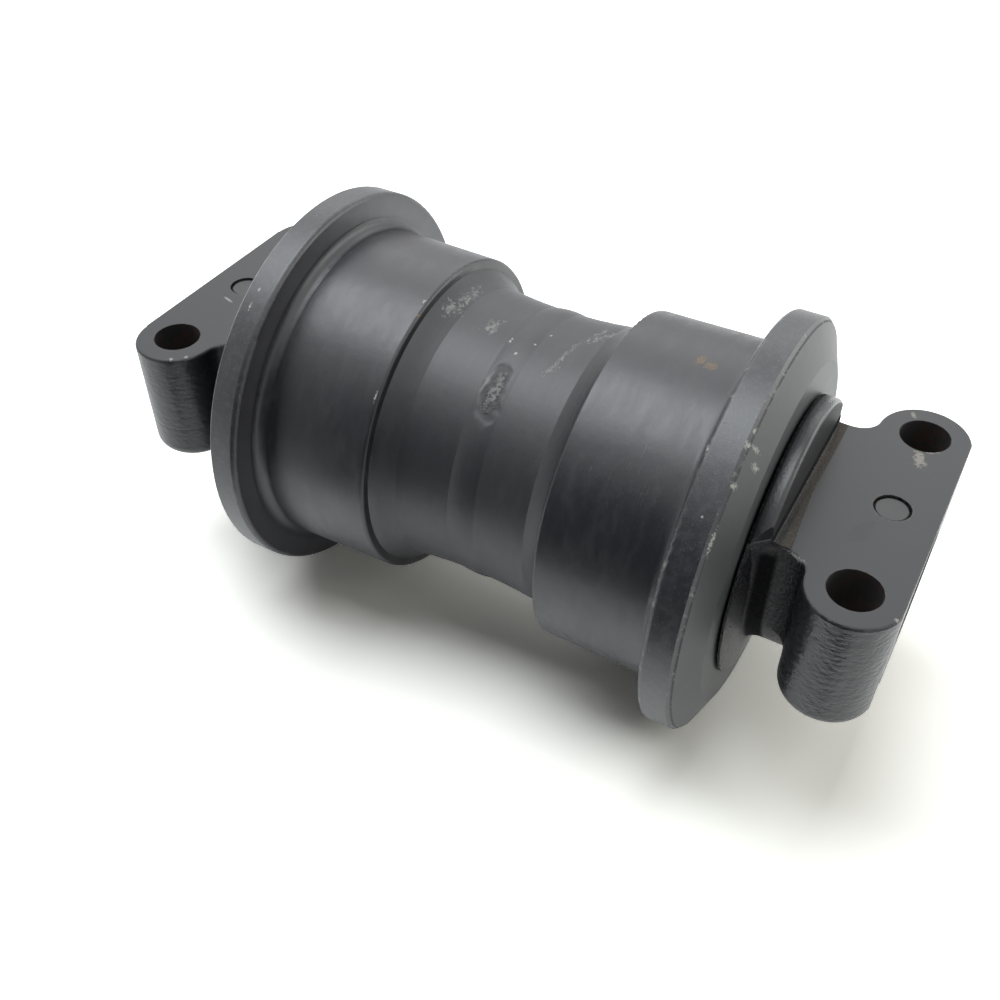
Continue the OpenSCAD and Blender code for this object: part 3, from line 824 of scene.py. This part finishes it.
# %% [markdown]
# ## Finishes on the pieces
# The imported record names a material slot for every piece. A table from slot to finish covers all of them
# at once, and a slot that had no finish would stop the script here. The finishes of the inner pieces
# already go by the names of their slots.

# %% Put each finish on its pieces
finishes = {
    "shell_paint": shell_material,
    "collar_paint": collar_material,
    "shaft_steel": shaft_material,
    "pin_steel": pin_material,
    "plug_steel": plug_material,
    **inner_finishes,
}
for subpart in frame["record"]["subparts"]:
    piece = frame["nodes"][subpart["node"]]
    piece.data.materials.clear()
    piece.data.materials.append(finishes[subpart["material_slot"]])

# %% [markdown]
# ## Floor
# The photograph was taken on a white sheet, exposed so brightly that only the shadow shows. More light
# would burn out the part too, so the sheet itself is made brighter for the camera and for reflections,
# with the Light Path node, while the light that it throws back stays that of plain white paper. Far from
# the part, where the lights fade, the sheet turns plain white, so that no horizon shows from any side.

# %% Sheet on the floor
floor_half = 6.0
floor_mesh = bpy.data.meshes.new("floor")
floor_bm = bmesh.new()
bmesh.ops.create_grid(floor_bm, x_segments=1, y_segments=1, size=floor_half)
bmesh.ops.translate(floor_bm, verts=floor_bm.verts, vec=(0, 0, floor_h * MM))
floor_bm.to_mesh(floor_mesh)
floor_bm.free()
floor = put("floor", floor_mesh)
print(f"floor {-floor_h:.1f} mm below the spin axis")

# %% White paper
def seen_rays(nodes):
    """1 for rays that show a thing to the camera, directly, by gloss or through glass; 0 for others."""
    path = nodes.add("ShaderNodeLightPath").outputs
    return nodes.most(path["Is Camera Ray"], path["Is Glossy Ray"], path["Is Transmission Ray"])


paper_plain = (0.82, 0.81, 0.78, 1)
paper_mirrored = (1.75, 1.74, 1.70, 1)
paper_seen = (1.78, 1.75, 1.65, 1)

floor_finish = bpy.data.materials.new("white_floor")
floor_finish.use_nodes = True
floor_finish.node_tree.nodes.clear()
sheet = Patterns(floor_finish.node_tree)
paper = sheet.add("ShaderNodeBsdfDiffuse")
paper_tone = sheet.mix(seen_rays(sheet), paper_plain, paper_mirrored)
camera_rays = sheet.add("ShaderNodeLightPath").outputs["Is Camera Ray"]
sheet.feed(paper.inputs["Color"], sheet.mix(camera_rays, paper_tone, paper_seen))
print("paper", paper_plain[:3], "shown as", paper_seen[:3])

# %% White distance
fade_start = 0.45
fade_end = 1.0
distance = sheet.add("ShaderNodeVectorMath", operation="LENGTH")
sheet.feed(distance.inputs[0], sheet.place)
fade = sheet.step(distance.outputs["Value"], fade_start, fade_end)
white_distance = sheet.add("ShaderNodeEmission")
faded = sheet.add("ShaderNodeMixShader")
sheet.feed(faded.inputs["Fac"], sheet.times(fade, seen_rays(sheet)))
sheet.feed(faded.inputs[1], paper.outputs[0])
sheet.feed(faded.inputs[2], white_distance.outputs[0])
floor_output = sheet.add("ShaderNodeOutputMaterial")
sheet.feed(floor_output.inputs["Surface"], faded.outputs[0])
floor_mesh.materials.append(floor_finish)
print("floor fades to white from", fade_start, "to", fade_end, "m")

# %% [markdown]
# ## Lights
# Black paint shows little of its own colour; it shows what stands round it. So the lights are placed by
# what the photograph's reflections and shadow tell: a large soft light nearly overhead, a wider and weaker
# one behind on the far side, two weak ones that open up the shadow at the near end, and darkness on the
# camera's side. A dark screen there is seen only by reflections, so it takes no light from the floor.

# %% Softboxes
def softbox(name, turn, rise, distance, width, height, radiance, colour):
    """A soft light that faces the part from toward(turn, rise); its distance and size are in metres."""
    light = bpy.data.lights.new(name, "AREA")
    light.shape = "RECTANGLE"
    light.size = width
    light.size_y = height
    light.energy = radiance * math.pi * width * height
    light.color = colour
    lamp = put(name, light)
    out = toward(turn, rise)
    lamp.location = out * distance
    lamp.rotation_euler = (-out).to_track_quat("-Z", "Y").to_euler()
    print(name, "at", [round(c, 2) for c in lamp.location], "m")


softbox("overhead_softbox", 0, 73, 1.27, 0.82, 1.2, radiance=4.6, colour=(0.92, 0.965, 1.0))
softbox("back_softbox", 75, 36, 1.6, 1.7, 0.9, radiance=1.25, colour=(0.98, 0.99, 1.0))
softbox("side_softbox", 140, 16, 1.3, 1.2, 0.6, radiance=2.4, colour=(0.98, 1.0, 0.94))
softbox("end_softbox", 180, 50, 1.3, 1.0, 0.8, radiance=0.85, colour=(1.0, 1.0, 0.97))

# %% Dark screen on the camera's side
screen_foot_r = 0.20
screen_head_r = 0.62
screen_head_z = 0.50
screen_start = -140
screen_sweep = math.radians(88)
screen_panels = 28
cloth_dark = (0.08, 0.08, 0.09, 1)

screen_mesh = bpy.data.meshes.new("dark_screen")
screen_bm = bmesh.new()
start = toward(screen_start, 0)
foot = screen_bm.verts.new(start * screen_foot_r + Vector((0, 0, floor_h * MM)))
head = screen_bm.verts.new(start * screen_head_r + Vector((0, 0, screen_head_z)))
upright = screen_bm.edges.new((foot, head))
bmesh.ops.spin(
    screen_bm, geom=[foot, head, upright], cent=(0, 0, 0), axis=(0, 0, -1), dvec=(0, 0, 0),
    angle=screen_sweep, steps=screen_panels, use_merge=False, use_duplicate=False,
)
screen_bm.to_mesh(screen_mesh)
screen_bm.free()
screen = put("dark_screen", screen_mesh)
screen.visible_camera = False
screen.visible_diffuse = False
screen.visible_shadow = False
screen.visible_transmission = False
cloth = Finish("dark_cloth").done({"Base Color": cloth_dark, "Roughness": 1.0})
screen_mesh.materials.append(cloth)
print("dark screen with", len(screen_mesh.polygons), "panels")

# %% White room
room_light = 0.08
room_seen = 1.0
world = bpy.data.worlds.new("studio")
bpy.context.scene.world = world
world.use_nodes = True
world.node_tree.nodes.clear()
room = Nodes(world.node_tree)
backdrop = room.add("ShaderNodeBackground")
backdrop.inputs["Color"].default_value = (1, 1, 1, 1)
room.feed(backdrop.inputs["Strength"], room.spread(seen_rays(room), room_light, room_seen))
room_output = room.add("ShaderNodeOutputWorld")
room.feed(room_output.inputs["Surface"], backdrop.outputs[0])
bpy.context.scene.view_settings.view_transform = "Standard"
print("room light", room_light)

# %% [markdown] ## Size of the roller Paint adds no thickness, so the dressed roller must
# measure the same as the imported one.
